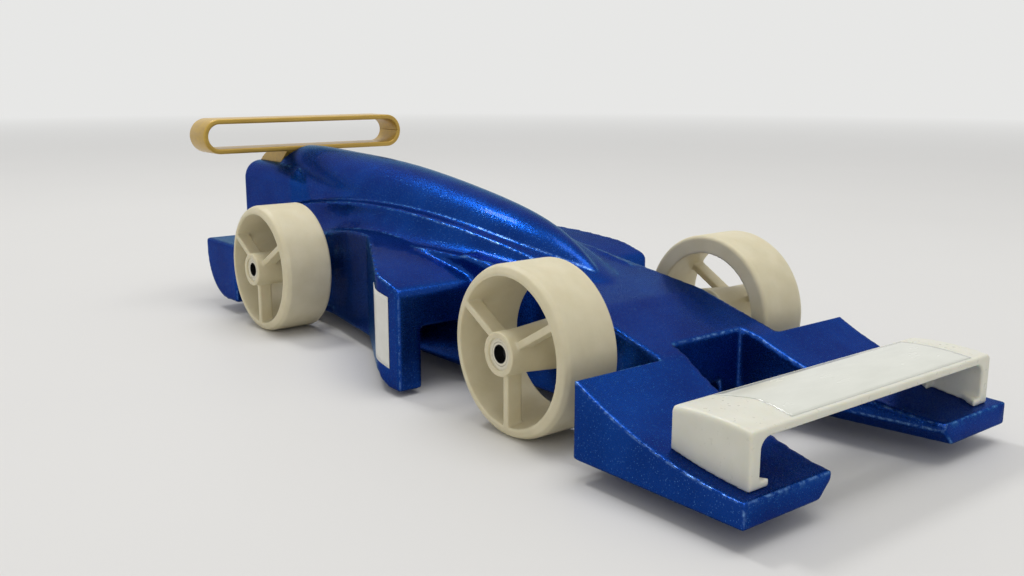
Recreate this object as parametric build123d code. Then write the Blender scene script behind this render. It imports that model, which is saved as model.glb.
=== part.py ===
"""A hand-size open wheel racing car, the kind that a gas cartridge drives along a tether line.

One machined body block carries a white bridge-shaped front wing, a gold loop-shaped rear wing and
two axles. Each wheel turns on two small bearings. Millimetres, +X to the nose, +Y to the car's
left, +Z up. The origin is on the ground under the middle of the car.
"""

from build123d import *
import os

# Overall sizes
wheel_radius = 14.5
wheel_width = 11.5
wheelbase = 92.5
nose_reach = 51.7
tail_reach = 47.5
track_half = 29.8
body_half_width = 32.8
ground_clearance = 3.0

# Stations along the car, worked out from the sizes above
length = nose_reach + wheelbase + tail_reach
front_axle_x = length / 2 - nose_reach
rear_axle_x = front_axle_x - wheelbase
nose_x = length / 2
tail_x = -length / 2

# Nose block and its two prongs
nose_block_length = 31.7
shoulder_height = 15.2
prong_tip_height = 6.8
slope_mid_run = 17.4
slope_mid_height = 8.75
slot_depth = 34.9
slot_rear_half = 8.4
slot_front_half = 14.5
prong_edge_chamfer = 2.6
nose_block_x = nose_x - nose_block_length

# Deck between the front wheels
deck_half_width = 14.6
deck_knee_run = 17.5
deck_knee_height = 20.0
deck_end_run = 53.0
deck_end_height = 24.63

# Side pods and waist: a run is measured back from the front axle, the lead ahead of the rear axle
pod_half_width = 32.0
pod_front_run = 28.7
pod_front_height = 20.0
pod_front_edge = 2.0
pod_rear_run = 36.5
waist_run = 61.0
waist_half_width = 19.2
rear_body_half_width = 15.0
rear_body_lead = 7.5
pod_crown_run = 59.0
pod_crown_height = 25.2
waist_top_run = 92.0
waist_top_height = 21.0
pod_corner_radius = 7.0
pod_slab = 7.2
pod_wall = 5.1
pod_inner_half = 17.0
pod_clearance = 1.0
skirt_flat_run = 31.5
skirt_bulge_run = 34.6
skirt_bulge_height = 1.8
skirt_end_run = 36.4
pod_tunnel_turn_run = 32.5
pod_tunnel_end_run = 50.0
pod_tunnel_end_width = 3.0

# Rear block behind the rear wheels
rear_block_gap = 3.4
rear_block_length = 17.0
rear_block_half_width = 27.5
rear_block_height = 17.2
rear_block_foot = 4.5
rear_block_tip = 1.6
rear_block_belly = (14.2, 6.7)
rear_block_front = rear_axle_x - wheel_radius - rear_block_gap
rear_block_rear = rear_block_front - rear_block_length

# Cartridge chamber at the tail
chamber_radius = 9.75
chamber_depth = 43.5
chamber_height = 24.4
tail_half = 11.0
tail_corner = 4.5
tail_edge = 1.0
tail_root_half = 8.6
tail_root_run = 98.0
tail_full_run = 112.0

# Wheels
rim_front_wall = 1.9
rim_rear_wall = 3.4
rim_edge = 1.4
rim_edge_face = 0.45
boss_radius = 3.7
hub_root_radius = 4.4
hub_depth = 11.0
boss_stand = 1.5
spoke_count = 3
spoke_depth = 3.0
spoke_thickness = 1.2
spoke_angle = 90.0
spoke_root = 0.4

# Axles and bearings
axle_radius = 1.5
axle_inset = 2.2
bearing_radius = 2.7
bearing_width = 2.3
bearing_inset = 0.4
inner_ring_radius = 1.95
ring_gap = 0.2
hub_bore_gap = 0.6
spacer_wall = 0.5
bush_radius = 2.6
bush_flange_radius = 3.2
bush_flange = 0.8
bush_length = 8.0

# Front wing
wing_half_span = 29.8
wing_rear_run = 36.4
wing_chord = 13.6
wing_height = 15.1
wing_thickness = 1.3
wing_camber = 0.45
wing_droop = 0.1
wing_edge = 0.8
wing_inner_corner = 1.8
endplate_thickness = 2.1
foot_reach = 1.9
foot_thickness = 1.1
foot_length = 3.2
foot_inset = 2.2

# Rear wing loop and its saddle
loop_run = 127.0
loop_rise = 18.6
loop_height = chamber_height + loop_rise
loop_half_span = 28.7
loop_half_height = 4.35
loop_chord = 9.4
loop_wall = 1.25
loop_seat_gap = 0.3
saddle_half_width = 6.4
saddle_front_run = 126.2
saddle_fall_run = 136.0
saddle_fall_rise = 1.7
saddle_rear_run = 138.5

# Tether line guides under the body
guide_eye_radius = 2.0
guide_eye_wall = 0.7
guide_eye_width = 1.2
guide_shank_radius = 0.6
guide_shank_depth = 3.0
guide_front_run = -8.0
guide_rear_run = 106.0
line_channel_height = 7.5
line_channel_half_width = 3.6

WIDE = 4 * length


def along(run):
    """The X of a station that lies run millimetres behind the front axle."""
    return front_axle_x - run


def side_solid(outline, half_width):
    """A closed XZ outline pulled out to both sides of the car's middle."""
    return extrude(outline, half_width, both=True)


def xz_face(edges):
    """A face in the XZ plane from edges given as (x, z) points."""
    return Plane.XZ * make_face(edges)


def cross_plane(x, z=0):
    """The plane across the car at x, with its middle at height z and its own x to the car's left."""
    return Plane(origin=(x, 0, z), x_dir=(0, 1, 0), z_dir=(1, 0, 0))


def mirrored(shape):
    """The same shape on the car's other side."""
    return mirror(shape, about=Plane.XZ)


# Nose block: flat rear shoulder, hollow slope and level prong tips
def nose_top_edges():
    start = (nose_block_x, shoulder_height)
    middle = (nose_block_x + slope_mid_run, slope_mid_height)
    end = (nose_x, prong_tip_height)
    return ThreePointArc(start, middle, end)


def nose_block():
    slope = nose_top_edges()
    front = Line((nose_x, prong_tip_height), (nose_x, ground_clearance))
    bottom = Line((nose_x, ground_clearance), (nose_block_x, ground_clearance))
    back = Line((nose_block_x, ground_clearance), (nose_block_x, shoulder_height))
    return side_solid(xz_face([slope, front, bottom, back]), body_half_width)


def nose_slot():
    rear = nose_x - slot_depth
    flare = (slot_front_half - slot_rear_half) / slot_depth
    front = nose_x + slot_rear_half
    front_half = slot_rear_half + flare * (front - rear)
    outline = Polyline(
        (rear, -slot_rear_half), (front, -front_half), (front, front_half), (rear, slot_rear_half), close=True
    )
    return extrude(make_face(outline), WIDE, both=True)


def prong_edge_cut():
    """The sloping cut along the lower inner edge of the right prong."""
    rear = nose_x - slot_depth
    section_rear = prong_edge_triangle(rear, slot_rear_half)
    section_front = prong_edge_triangle(nose_x, slot_front_half)
    return loft([section_rear, section_front])


def prong_edge_triangle(x, half):
    low = ground_clearance
    points = [(-half - prong_edge_chamfer, low), (-half, low + prong_edge_chamfer), (-half, low)]
    return cross_plane(x) * make_face(Polyline(*points, close=True))


# Deck from the shoulder up to the fuselage
def deck():
    top = Polyline(
        (nose_block_x, ground_clearance),
        (nose_block_x, shoulder_height),
        (nose_block_x - deck_knee_run, deck_knee_height),
        (nose_block_x - deck_end_run, deck_end_height),
        (nose_block_x - deck_end_run, ground_clearance),
        close=True,
    )
    return side_solid(xz_face(top), deck_half_width)


# Side pods, waist and rear block share one plan outline and one side outline
def pod_plan():
    half = [
        (along(pod_front_run), pod_half_width),
        (along(pod_rear_run), pod_half_width),
        (along(waist_run), waist_half_width),
        (rear_axle_x + rear_body_lead, rear_body_half_width),
        (rear_block_front, rear_body_half_width),
        (rear_block_front, rear_block_half_width),
        (rear_block_rear, rear_block_half_width),
    ]
    right = [(x, -y) for x, y in reversed(half)]
    face = make_face(Polyline(*half, *right, close=True))
    corners = face.vertices().group_by(Axis.X)[-2]
    return extrude(fillet(corners, pod_corner_radius), WIDE, both=True)


def pod_side():
    front = (along(pod_front_run), pod_front_height)
    waist = (along(waist_top_run), waist_top_height)
    ledge = (rear_block_front, rear_block_height)
    edge = (rear_block_rear, rear_block_height)
    lip = (rear_block_rear, rear_block_height - rear_block_tip)
    heel = (rear_block_front - rear_block_foot, ground_clearance)
    belly_run, belly_height = rear_block_belly
    skirt_end = (along(skirt_end_run), ground_clearance)
    skirt_bulge = (along(skirt_bulge_run), skirt_bulge_height)
    skirt_flat = (along(skirt_flat_run), pod_clearance)
    toe = (along(pod_front_run), pod_clearance)
    return side_solid(
        xz_face(
            [
                ThreePointArc(front, (along(pod_crown_run), pod_crown_height), waist),
                Polyline(waist, ledge, edge, lip),
                ThreePointArc(lip, (rear_block_front - belly_run, belly_height), heel),
                Line(heel, skirt_end),
                ThreePointArc(skirt_end, skirt_bulge, skirt_flat),
                Polyline(skirt_flat, toe, front),
            ]
        ),
        body_half_width,
    )


def pods():
    solid = pod_plan() & pod_side()
    front_top = solid.edges().group_by(Axis.X)[-1].group_by(Axis.Z)[-1]
    return fillet(front_top, pod_front_edge)


def pod_tunnel():
    """The dark tunnel inside the right pod, open at the front and below."""
    front = along(pod_front_run) + pod_wall
    end = along(pod_tunnel_end_run)
    turn = along(pod_tunnel_turn_run)
    outer = -(pod_half_width - pod_wall)
    inner = -pod_inner_half
    tail = inner - pod_tunnel_end_width
    outline = Polyline((front, inner), (front, outer), (turn, outer), (end, tail), (end, inner), close=True)
    return extrude(make_face(outline), pod_front_height - pod_slab)


# Upper fuselage, a teardrop that starts in a point on the deck: run, rise over the chamber's middle, radius
TEARDROP = [
    (8.0, -3.2, 0.0),
    (15.0, -1.3, 2.6),
    (22.0, -0.7, 5.25),
    (44.5, 1.0, 8.95),
    (84.0, 3.9, 10.6),
    (104.0, 5.5, 9.8),
    (121.0, 6.7, 8.9),
    (130.0, 7.4, 6.6),
]


def teardrop():
    tip_run, tip_rise, _ = TEARDROP[0]
    rounds = [
        cross_plane(along(run), chamber_height + rise) * Circle(radius)
        for run, rise, radius in TEARDROP[1:]
    ]
    return loft([Vertex(along(tip_run), 0, chamber_height + tip_rise), *rounds])


def tail_section(x, half):
    return cross_plane(x, chamber_height) * RectangleRounded(2 * half, 2 * half, tail_corner)


def tail_block():
    """The square tail round the chamber, which grows out of the fuselage."""
    root = tail_section(along(tail_root_run), tail_root_half)
    full = tail_section(along(tail_full_run), tail_half)
    edge = tail_section(tail_x + tail_edge, tail_half)
    rear = tail_section(tail_x, tail_half - tail_edge)
    return loft([root, full, edge, rear], ruled=True)


# Flank between the fuselage and the pods: run, shoulder half width and height, foot half width and height
FLANK = [
    (6.0, 4.0, 20.0, 12.6, 19.4),
    (32.0, 9.4, 27.2, 14.6, 24.2),
    (52.0, 11.6, 29.6, 16.6, 24.4),
    (72.0, 12.6, 30.2, 16.2, 24.0),
    (92.0, 12.6, 28.8, 14.8, 20.8),
    (112.0, 11.4, 26.0, 13.4, 17.2),
]
flank_hollow = 1.2
flank_crown = 1.0
flank_base = 5.0


def flank_section(run, top_half, top_height, foot_half, foot_height):
    hollow_y = (top_half + foot_half) / 2 - flank_hollow / 2
    hollow_z = (top_height + foot_height) / 2 - flank_hollow
    edges = [
        Line((-foot_half, flank_base), (foot_half, flank_base)),
        Line((foot_half, flank_base), (foot_half, foot_height)),
        ThreePointArc((foot_half, foot_height), (hollow_y, hollow_z), (top_half, top_height)),
        ThreePointArc((top_half, top_height), (0, top_height + flank_crown), (-top_half, top_height)),
        ThreePointArc((-top_half, top_height), (-hollow_y, hollow_z), (-foot_half, foot_height)),
        Line((-foot_half, foot_height), (-foot_half, flank_base)),
    ]
    return cross_plane(along(run)) * make_face(edges)


def flank():
    return loft([flank_section(*row) for row in FLANK])


def wing_seat():
    """The step in the hump and the flat on the tail that take the rear wing and its saddle."""
    front = along(loop_run) + loop_chord / 2 + loop_seat_gap
    foot = along(saddle_front_run) + loop_seat_gap
    floor = chamber_height + tail_half
    top = loop_height + loop_half_height
    step = loop_height - loop_half_height
    outline = Polyline((front, top), (front, step), (foot, floor), (tail_x, floor), (tail_x, top), close=True)
    return side_solid(xz_face([outline]), tail_half)


def chamber_bore():
    return cross_plane(tail_x, chamber_height) * extrude(Circle(chamber_radius), chamber_depth)


def axle_hole(x):
    place = Plane(origin=(x, 0, wheel_radius), x_dir=(1, 0, 0), z_dir=(0, 1, 0))
    return place * extrude(Circle(bush_radius), body_half_width, both=True)


def line_channel():
    """The groove under the body that the tether line and its guides lie in."""
    groove = Box(WIDE, 2 * line_channel_half_width, line_channel_height)
    return Pos(0, 0, line_channel_height / 2) * groove


def belly():
    """The space under the body between the skirts of the pods."""
    return Pos(0, 0, ground_clearance / 2) * Box(WIDE, 2 * pod_inner_half, ground_clearance)


def guide_shank(run, extra):
    """The round shank of a guide, from the channel's roof into the body."""
    shank = Cylinder(guide_shank_radius, guide_shank_depth + extra)
    return Pos(along(run), 0, line_channel_height + (guide_shank_depth - extra) / 2) * shank


def body_shell():
    slopes = [nose_block(), deck()]
    cuts = [nose_slot(), prong_edge_cut(), mirrored(prong_edge_cut()), pod_tunnel(), mirrored(pod_tunnel())]
    cuts += [chamber_bore(), line_channel(), belly(), wing_seat()]
    cuts += [axle_hole(x) for x in (front_axle_x, rear_axle_x)]
    cuts += [guide_shank(run, 0) for run in (guide_front_run, guide_rear_run)]
    return pods() + [*slopes, flank(), teardrop(), tail_block()] - cuts


# Wheel, modelled on the right side with its outer face at y = -track_half
def revolved(points):
    """A ring of revolution about the wheel's axis from (radius, depth) points, depth from the outer face."""
    place = Plane(origin=(0, -track_half, wheel_radius), x_dir=(1, 0, 0), z_dir=(0, 0, 1))
    face = place * make_face(Polyline(*points, close=True))
    axis = Axis((0, 0, wheel_radius), (0, 1, 0))
    return revolve(face, axis)


def wheel_blank():
    edge = rim_edge
    face = rim_edge_face
    barrel = revolved(
        [
            (wheel_radius - edge, 0),
            (wheel_radius - face, face),
            (wheel_radius, edge),
            (wheel_radius, wheel_width - face),
            (wheel_radius - face, wheel_width),
            (wheel_radius - rim_rear_wall, wheel_width),
            (wheel_radius - rim_front_wall, 0),
        ]
    )
    bore = axle_radius + hub_bore_gap
    seat = bearing_inset + bearing_width
    hub = revolved(
        [
            (bearing_radius, -boss_stand),
            (boss_radius, -boss_stand),
            (boss_radius, spoke_depth),
            (hub_root_radius, hub_depth),
            (bearing_radius, hub_depth),
            (bearing_radius, hub_depth - seat),
            (bore, hub_depth - seat),
            (bore, seat - boss_stand),
            (bearing_radius, seat - boss_stand),
        ]
    )
    return barrel + hub


def spokes():
    reach = wheel_radius - rim_front_wall + spoke_root
    start = bearing_radius + spoke_root
    spoke = Box(reach - start, spoke_depth, spoke_thickness)
    spoke = Pos((reach + start) / 2, spoke_depth / 2, 0) * spoke
    place = Pos(0, -track_half, wheel_radius)
    return [place * Rot(0, spoke_angle + 360 / spoke_count * i, 0) * spoke for i in range(spoke_count)]


def wheel():
    return wheel_blank() + spokes()


def bearing_depths():
    """Depths of the outer ends of the two bearings of a wheel, from its outer face."""
    outer = bearing_inset - boss_stand
    inner = hub_depth - bearing_inset - bearing_width
    return outer, inner


def ring(outer_radius, inner_radius, depth, width):
    return revolved(
        [
            (inner_radius, depth),
            (outer_radius, depth),
            (outer_radius, depth + width),
            (inner_radius, depth + width),
        ]
    )


def outer_rings():
    hole = inner_ring_radius + ring_gap
    return Compound([ring(bearing_radius, hole, depth, bearing_width) for depth in bearing_depths()])


def inner_rings():
    return [ring(inner_ring_radius, axle_radius, depth, bearing_width) for depth in bearing_depths()]


def axle(x):
    half = track_half + boss_stand - axle_inset
    place = Plane(origin=(x, -half, wheel_radius), x_dir=(1, 0, 0), z_dir=(0, 1, 0))
    return place * extrude(Circle(axle_radius), 2 * half)


def bush(body_half):
    """The flanged bush that holds the axle in the body's right side."""
    place = Plane(origin=(0, -body_half, wheel_radius), x_dir=(1, 0, 0), z_dir=(0, 1, 0))
    tube = place * extrude(Circle(bush_radius), bush_length)
    flange = place * extrude(Circle(bush_flange_radius), -bush_flange)
    hole = place * extrude(Circle(axle_radius), bush_length, both=True)
    return tube + flange - hole


def spacer(body_half):
    """The thin tube between the bush and the wheel's inner bearing."""
    start = hub_depth - bearing_inset
    end = track_half - body_half - bush_flange
    return ring(axle_radius + spacer_wall, axle_radius, start, end - start)


# Front wing: cambered plank, two endplates that stand on the prongs, pointed feet
def wing_profile(depth, bottom):
    """The side outline under the wing's cambered top lowered by depth, down to bottom."""
    rear = along(-wing_rear_run)
    front = rear + wing_chord
    high = wing_height - depth
    low = high - wing_droop
    top = ThreePointArc((rear, high), ((rear + front) / 2, high + wing_camber), (front, low))
    sides = Polyline((front, low), (front, bottom), (rear, bottom), (rear, high))
    return xz_face([top, sides])


def front_wing():
    rear = along(-wing_rear_run)
    front = rear + wing_chord
    bridge = side_solid(wing_profile(0, ground_clearance), wing_half_span)
    bridge -= side_solid(wing_profile(wing_thickness, 0), wing_half_span - endplate_thickness)
    arcs = bridge.edges().filter_by(GeomType.CIRCLE).group_by(Axis.Y)
    bridge = fillet([*arcs[1], *arcs[2]], wing_inner_corner)
    arcs = bridge.edges().filter_by(GeomType.CIRCLE).group_by(Axis.Y)
    bridge = fillet([*arcs[0], *arcs[-1]], wing_edge)
    feet = [wing_foot(start, side) for side in (-1, 1) for start in (rear + foot_inset, front - foot_length)]
    return bridge + feet - nose_block()


def wing_foot(start, side):
    inner = side * (wing_half_span - endplate_thickness)
    tip = inner - side * foot_reach
    outline = Polyline((start, inner), (start + foot_length, inner), (start + foot_length, tip), close=True)
    foot = extrude(make_face(outline), wing_height)
    return foot & nose_block_band()


def nose_block_band():
    """The layer as thick as the wing's feet that lies on the prongs' slope."""
    return Pos(0, 0, foot_thickness) * nose_block() - nose_block()


# Rear wing: one flat-sided loop on a saddle that stands on the tail
def stadium(half_span, half_height):
    slot = extrude(SlotOverall(2 * half_span, 2 * half_height), loop_chord / 2, both=True)
    return cross_plane(along(loop_run), loop_height) * slot


def rear_wing_loop():
    return stadium(loop_half_span, loop_half_height) - stadium(
        loop_half_span - loop_wall, loop_half_height - loop_wall
    )


def rear_wing_saddle():
    top = loop_height - loop_half_height
    floor = chamber_height + tail_half
    front_foot = (along(saddle_front_run), floor)
    front_top = (along(loop_run) + loop_chord / 2, top)
    rear_top = (along(loop_run) - loop_chord / 2, top)
    rear_foot = (along(saddle_rear_run), floor)
    fall = ThreePointArc(rear_top, (along(saddle_fall_run), floor + saddle_fall_rise), rear_foot)
    rest = Polyline(rear_foot, front_foot, front_top, rear_top)
    return side_solid(xz_face([fall, rest]), saddle_half_width)


# Tether line guide: a closed eye hung in the channel on a shank that is pressed into the body
def tether_guide(run):
    outer = guide_eye_radius + guide_eye_wall
    place = cross_plane(along(run) - guide_eye_width / 2, line_channel_height - outer)
    eye = place * extrude(Circle(outer), guide_eye_width) + guide_shank(run, guide_eye_wall / 2)
    return eye - place * extrude(Circle(guide_eye_radius), guide_eye_width)


AXLES = [("front", front_axle_x, deck_half_width), ("rear", rear_axle_x, rear_body_half_width)]
SIDES = [("right", False), ("left", True)]


def placed(shape, x, flip):
    """A right-hand shape moved to an axle's X, and mirrored for the left side."""
    shape = Pos(x, 0, 0) * shape
    return mirrored(shape) if flip else shape


def build_nodes():
    nodes = {"body_shell": body_shell(), "front_wing": front_wing()}
    nodes["rear_wing_loop"] = rear_wing_loop()
    nodes["rear_wing_saddle"] = rear_wing_saddle()
    for name, x, body_half in AXLES:
        nodes[f"{name}_axle"] = axle(x)
        fixed = []
        tubes = []
        for side, flip in SIDES:
            nodes[f"{name}_{side}_wheel"] = placed(wheel(), x, flip)
            nodes[f"{name}_{side}_outer_rings"] = placed(outer_rings(), x, flip)
            nodes[f"{name}_{side}_bush"] = placed(bush(body_half), x, flip)
            fixed += [placed(part, x, flip) for part in inner_rings()]
            tubes.append(placed(spacer(body_half), x, flip))
        nodes[f"{name}_inner_rings"] = Compound(fixed)
        nodes[f"{name}_axle_spacers"] = Compound(tubes)
    nodes["front_tether_guide"] = tether_guide(guide_front_run)
    nodes["rear_tether_guide"] = tether_guide(guide_rear_run)
    return nodes


os.makedirs("parts", exist_ok=True)
for node_name, node_shape in build_nodes().items():
    export_step(node_shape, f"parts/{node_name}.step")
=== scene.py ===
"""The looks of a hand-size open wheel racing car: a painted block body, printed wheels and two wings.

Everything is in metres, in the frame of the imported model: +X to the nose, +Y to the car's left,
+Z up, with the origin on the ground under the middle of the car.
"""

import logging
import math
from dataclasses import dataclass, replace
from enum import Enum

import bmesh
import bpy
import numpy as np
from bpy.types import Material, Mesh, Object
from mathutils import Matrix, Vector
from mathutils.bvhtree import BVHTree
from mathutils.kdtree import KDTree


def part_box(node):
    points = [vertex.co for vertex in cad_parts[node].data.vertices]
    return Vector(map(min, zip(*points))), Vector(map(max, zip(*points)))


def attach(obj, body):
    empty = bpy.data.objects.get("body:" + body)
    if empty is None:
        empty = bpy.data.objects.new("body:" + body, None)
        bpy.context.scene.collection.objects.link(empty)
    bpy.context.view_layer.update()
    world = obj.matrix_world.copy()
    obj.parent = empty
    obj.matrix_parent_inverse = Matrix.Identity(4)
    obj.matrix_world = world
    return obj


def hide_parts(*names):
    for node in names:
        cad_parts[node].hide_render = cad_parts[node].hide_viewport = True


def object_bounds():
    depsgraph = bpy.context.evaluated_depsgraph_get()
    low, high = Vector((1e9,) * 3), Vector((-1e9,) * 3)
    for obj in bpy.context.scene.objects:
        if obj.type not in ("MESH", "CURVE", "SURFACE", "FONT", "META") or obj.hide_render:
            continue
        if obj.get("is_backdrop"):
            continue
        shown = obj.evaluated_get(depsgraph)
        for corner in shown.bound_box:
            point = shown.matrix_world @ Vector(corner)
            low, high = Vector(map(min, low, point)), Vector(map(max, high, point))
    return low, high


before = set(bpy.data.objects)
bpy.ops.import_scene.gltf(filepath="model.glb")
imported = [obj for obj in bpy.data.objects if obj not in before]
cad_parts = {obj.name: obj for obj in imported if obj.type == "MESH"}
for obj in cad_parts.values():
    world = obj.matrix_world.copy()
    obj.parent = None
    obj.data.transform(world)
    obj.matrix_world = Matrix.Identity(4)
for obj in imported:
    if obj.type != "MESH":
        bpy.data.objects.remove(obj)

MM = 0.001
LOG = logging.getLogger("racing_car")
CHASSIS = "chassis"
EDGE_ATTRIBUTE = "edge"
NOISE_RANGE = (0.3, 0.7)
ALL_AXES = (1.0, 1.0, 1.0)

Colour = tuple[float, float, float]
Triple = tuple[float, float, float]
Span = tuple[float, float]
Socket = bpy.types.NodeSocket


class Axle(Enum):
    """The two axles, by the word that starts the names of their nodes."""

    FRONT = "front"
    REAR = "rear"


class Side(Enum):
    """The two sides of the car, by the word in the names of their nodes."""

    LEFT = "left"
    RIGHT = "right"


class Graph:
    """A material's node graph, with short calls that add and link its nodes."""

    def __init__(self, name: str) -> None:
        """Starts a material with one output and one main shader.

        Args:
            name: the material's name.
        """
        self.material = bpy.data.materials.new(name)
        self.material.use_nodes = True
        self.nodes = self.material.node_tree.nodes
        self.links = self.material.node_tree.links
        self.shader = self.nodes["Principled BSDF"]
        self.coordinates = self.nodes.new("ShaderNodeTexCoord").outputs["Object"]

    def set(self, **values: float | Colour) -> None:
        """Sets inputs of the main shader.

        Args:
            **values: socket names with underscores for spaces, and their values.
        """
        for name, value in values.items():
            full = (*value, 1.0) if isinstance(value, tuple) else value
            self.shader.inputs[name.replace("_", " ")].default_value = full

    def link(self, source: Socket, target: str) -> None:
        """Links a socket to an input of the main shader.

        Args:
            source: the output socket.
            target: the name of the shader's input.
        """
        self.links.new(source, self.shader.inputs[target])

    def noise(self, size: float, detail: float = 3.0, stretch: Triple = ALL_AXES) -> Socket:
        """Adds a noise pattern.

        Args:
            size: the size of one grain, in metres.
            detail: how many octaves the pattern has.
            stretch: how many times finer the pattern is along each axis.

        Returns:
            The pattern's value socket.
        """
        scale = self.nodes.new("ShaderNodeMapping")
        scale.inputs["Scale"].default_value = stretch
        self.links.new(self.coordinates, scale.inputs["Vector"])
        pattern = self.nodes.new("ShaderNodeTexNoise")
        pattern.inputs["Scale"].default_value = 1.0 / size
        pattern.inputs["Detail"].default_value = detail
        self.links.new(scale.outputs["Vector"], pattern.inputs["Vector"])
        return pattern.outputs["Fac"]

    def cells(self, size: float) -> bpy.types.Node:
        """Adds a pattern of small cells.

        Args:
            size: the distance between neighbouring cells, in metres.

        Returns:
            The pattern's node, with a random colour for each cell.
        """
        pattern = self.nodes.new("ShaderNodeTexVoronoi")
        pattern.inputs["Scale"].default_value = 1.0 / size
        self.links.new(self.coordinates, pattern.inputs["Vector"])
        return pattern

    def fit(self, source: Socket, old: Span, new: Span = (0.0, 1.0)) -> Socket:
        """Maps a value from one range onto another.

        Args:
            source: the value socket.
            old: the range that the value comes in.
            new: the range that it leaves in.

        Returns:
            The mapped value's socket.
        """
        node = self.nodes.new("ShaderNodeMapRange")
        for name, value in zip(("From Min", "From Max", "To Min", "To Max"), (*old, *new)):
            node.inputs[name].default_value = value
        self.links.new(source, node.inputs["Value"])
        return node.outputs["Result"]

    def times(self, first: Socket, second: Socket) -> Socket:
        """Multiplies two values.

        Args:
            first: a value's socket.
            second: the other value's socket.

        Returns:
            The product's socket.
        """
        node = self.nodes.new("ShaderNodeMath")
        node.operation = "MULTIPLY"
        self.links.new(first, node.inputs[0])
        self.links.new(second, node.inputs[1])
        return node.outputs["Value"]

    def mix(self, factor: Socket, low: Socket | Colour, high: Socket | Colour) -> Socket:
        """Mixes two colours by a value.

        Args:
            factor: the socket of the value, 0 for the low colour and 1 for the high one.
            low: a colour or the socket of one.
            high: a colour or the socket of one.

        Returns:
            The mixed colour's socket.
        """
        node = self.nodes.new("ShaderNodeMix")
        node.data_type = "RGBA"
        self.links.new(factor, node.inputs["Factor"])
        for name, colour in (("A", low), ("B", high)):
            socket = [s for s in node.inputs if s.name == name and s.type == "RGBA"][0]
            if isinstance(colour, tuple):
                socket.default_value = (*colour, 1.0)
            else:
                self.links.new(colour, socket)
        return [s for s in node.outputs if s.type == "RGBA"][0]

    def blend(self, pattern: Socket, low: Colour, high: Colour, spread: Span = NOISE_RANGE) -> Socket:
        """Mixes two colours by a pattern.

        Args:
            pattern: the pattern's socket.
            low: the colour where the pattern is low.
            high: the colour where it is high.
            spread: the pattern's values at which each colour is pure.

        Returns:
            The mixed colour's socket.
        """
        return self.mix(self.fit(pattern, spread), low, high)

    def bump(self, height: Socket, depth: float, normal: Socket | None = None) -> Socket:
        """Raises a pattern out of the surface.

        Args:
            height: the pattern's socket, from 0 to 1.
            depth: the height of a full step, in metres.
            normal: the socket of a normal that the pattern is laid on, if any.

        Returns:
            The new normal's socket.
        """
        node = self.nodes.new("ShaderNodeBump")
        node.inputs["Distance"].default_value = depth
        self.links.new(height, node.inputs["Height"])
        if normal is not None:
            self.links.new(normal, node.inputs["Normal"])
        return node.outputs["Normal"]

    def distance(self, middle: Vector, axes: Triple = ALL_AXES) -> Socket:
        """Adds the distance from a point or, with an axis left out, from a line.

        Args:
            middle: the point, or a point on the line.
            axes: 1 for each axis that counts and 0 for one that is left out.

        Returns:
            The distance's socket, in metres.
        """
        place = self.nodes.new("ShaderNodeMapping")
        place.inputs["Scale"].default_value = axes
        place.inputs["Location"].default_value = [-m * a for m, a in zip(middle, axes)]
        self.links.new(self.coordinates, place.inputs["Vector"])
        length = self.nodes.new("ShaderNodeVectorMath")
        length.operation = "LENGTH"
        self.links.new(place.outputs["Vector"], length.inputs[0])
        return length.outputs["Value"]

    def attribute(self, name: str) -> Socket:
        """Reads a value that the mesh carries at its points.

        Args:
            name: the attribute's name.

        Returns:
            The value's socket.
        """
        node = self.nodes.new("ShaderNodeAttribute")
        node.attribute_name = name
        return node.outputs["Fac"]


def middle_of(node: str) -> Vector:
    """The middle of a CAD node's box.

    Args:
        node: the node's name.

    Returns:
        The middle.
    """
    low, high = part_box(node)
    return (Vector(low) + Vector(high)) / 2


def points_of(mesh: Mesh) -> np.ndarray:
    """The points of a mesh.

    Args:
        mesh: the mesh.

    Returns:
        The points, one in each row.
    """
    points = np.empty(len(mesh.vertices) * 3)
    mesh.vertices.foreach_get("co", points)
    return points.reshape(-1, 3)


def report(piece: Object) -> None:
    """Logs a piece's name and how many triangles it has.

    Args:
        piece: the finished piece.
    """
    LOG.info("%s: %d triangles", piece.name, sum(len(p.vertices) - 2 for p in piece.data.polygons))


def placed(name: str, mesh: Mesh, material: Material) -> Object:
    """Puts a mesh in the scene, shaded smooth and with its finish.

    Args:
        name: the name of the new object.
        mesh: its mesh, which is already in its place.
        material: its finish.

    Returns:
        The new object.
    """
    mesh.polygons.foreach_set("use_smooth", [True] * len(mesh.polygons))
    mesh.materials.clear()
    mesh.materials.append(material)
    piece = bpy.data.objects.new(name, mesh)
    bpy.context.scene.collection.objects.link(piece)
    return piece


def add_piece(name: str, mesh: Mesh, material: Material, body: str) -> Object:
    """Puts a mesh in the scene as a piece that rides on a body.

    Args:
        name: the piece's name.
        mesh: its mesh, which is already in its place.
        material: its finish.
        body: the CAD body that it rides on.

    Returns:
        The piece.
    """
    piece = placed(name, mesh, material)
    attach(piece, body)
    report(piece)
    return piece


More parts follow.
